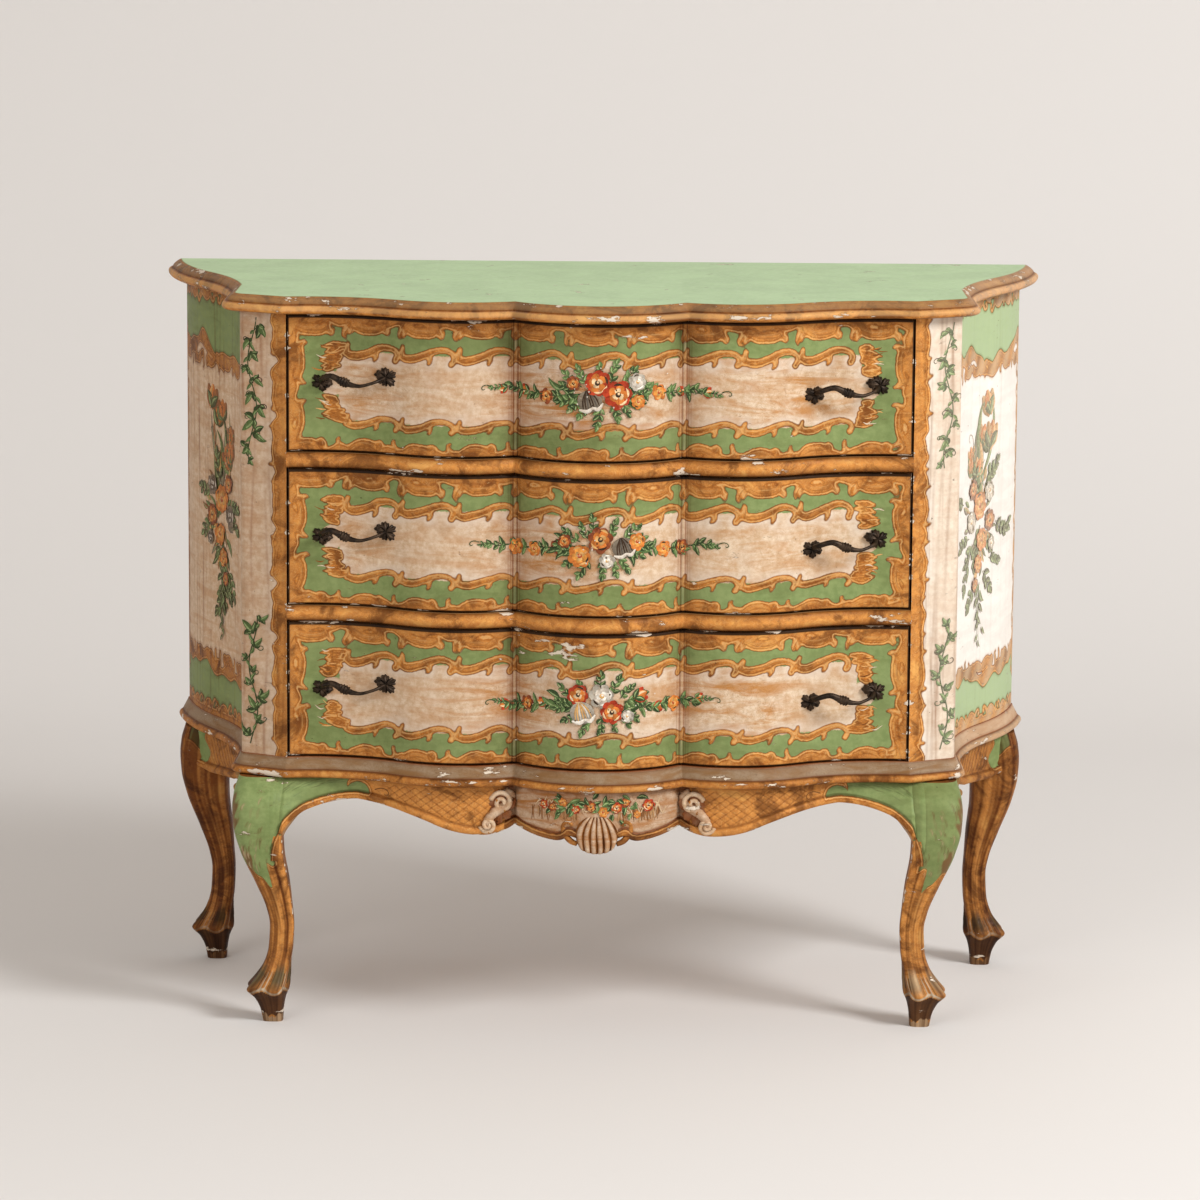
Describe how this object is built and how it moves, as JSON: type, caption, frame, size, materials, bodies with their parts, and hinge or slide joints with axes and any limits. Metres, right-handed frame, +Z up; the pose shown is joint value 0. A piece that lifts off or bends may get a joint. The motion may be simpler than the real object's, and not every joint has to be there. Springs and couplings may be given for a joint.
{
  "type": "chest of drawers",
  "caption": "Painted serpentine-front chest of drawers with splayed ogee sides, an eared moulded top, gilded rails, a carved apron and cabriole legs; drawers slide out on wooden runners.",
  "frame": {"origin": "on the floor below the middle of the box round the whole chest", "axes": "+X to the right in the front view, +Y to the back, +Z up; the drawers open towards -Y"},
  "size_m": [1.1118, 0.4999, 0.9],
  "materials": {
    "green_paint": "brushed sage-green paint on wood, satin, rubbed at the edges",
    "painted_panel": "cream, green and gold hand-painted panel with a worn brown glaze",
    "gilded_wood": "carved wood, gold-brown gilding over gesso, worn at the edges",
    "bare_wood": "unfinished pine and fir",
    "dark_bronze": "cast, dark bronze patina"
  },
  "bodies": {
    "case": {"top": "green_paint", "left_side_panel": "painted_panel", "right_side_panel": "painted_panel", "left_front_post": "painted_panel", "right_front_post": "painted_panel", "left_rear_post": "bare_wood", "right_rear_post": "bare_wood", "back_panel": "bare_wood", "top_glue_blocks": "bare_wood", "waist_moulding": "gilded_wood", "bottom_board": "bare_wood", "front_apron": "gilded_wood", "apron_shell": "gilded_wood", "apron_scrolls": "gilded_wood", "left_side_apron": "gilded_wood", "right_side_apron": "gilded_wood", "base_back_rail": "bare_wood", "corner_blocks": "bare_wood", "left_front_leg": "gilded_wood", "right_front_leg": "gilded_wood", "left_rear_leg": "gilded_wood", "right_rear_leg": "gilded_wood", "upper_divider_rail": "gilded_wood", "middle_divider_rail": "gilded_wood", "upper_rear_rail": "bare_wood", "middle_rear_rail": "bare_wood", "left_kicker": "bare_wood", "right_kicker": "bare_wood", "drawer_stops": "bare_wood", "left_upper_runner": "bare_wood", "right_upper_runner": "bare_wood", "left_middle_runner": "bare_wood", "right_middle_runner": "bare_wood", "left_lower_runner": "bare_wood", "right_lower_runner": "bare_wood"},
    "upper_drawer": {"upper_drawer_front": "painted_panel", "left_upper_drawer_side": "bare_wood", "right_upper_drawer_side": "bare_wood", "upper_drawer_back": "bare_wood", "upper_drawer_bottom": "bare_wood", "left_upper_pull": "dark_bronze", "right_upper_pull": "dark_bronze"},
    "middle_drawer": {"middle_drawer_front": "painted_panel", "left_middle_drawer_side": "bare_wood", "right_middle_drawer_side": "bare_wood", "middle_drawer_back": "bare_wood", "middle_drawer_bottom": "bare_wood", "left_middle_pull": "dark_bronze", "right_middle_pull": "dark_bronze"},
    "lower_drawer": {"lower_drawer_front": "painted_panel", "left_lower_drawer_side": "bare_wood", "right_lower_drawer_side": "bare_wood", "lower_drawer_back": "bare_wood", "lower_drawer_bottom": "bare_wood", "left_lower_pull": "dark_bronze", "right_lower_pull": "dark_bronze"}
  },
  "joints": [
    {"name": "upper_drawer_slide", "type": "slide", "parent": "case", "child": "upper_drawer", "axis": [0, -1, 0], "range_m": [0, 0.25]},
    {"name": "middle_drawer_slide", "type": "slide", "parent": "case", "child": "middle_drawer", "axis": [0, -1, 0], "range_m": [0, 0.25]},
    {"name": "lower_drawer_slide", "type": "slide", "parent": "case", "child": "lower_drawer", "axis": [0, -1, 0], "range_m": [0, 0.25]}
  ]
}
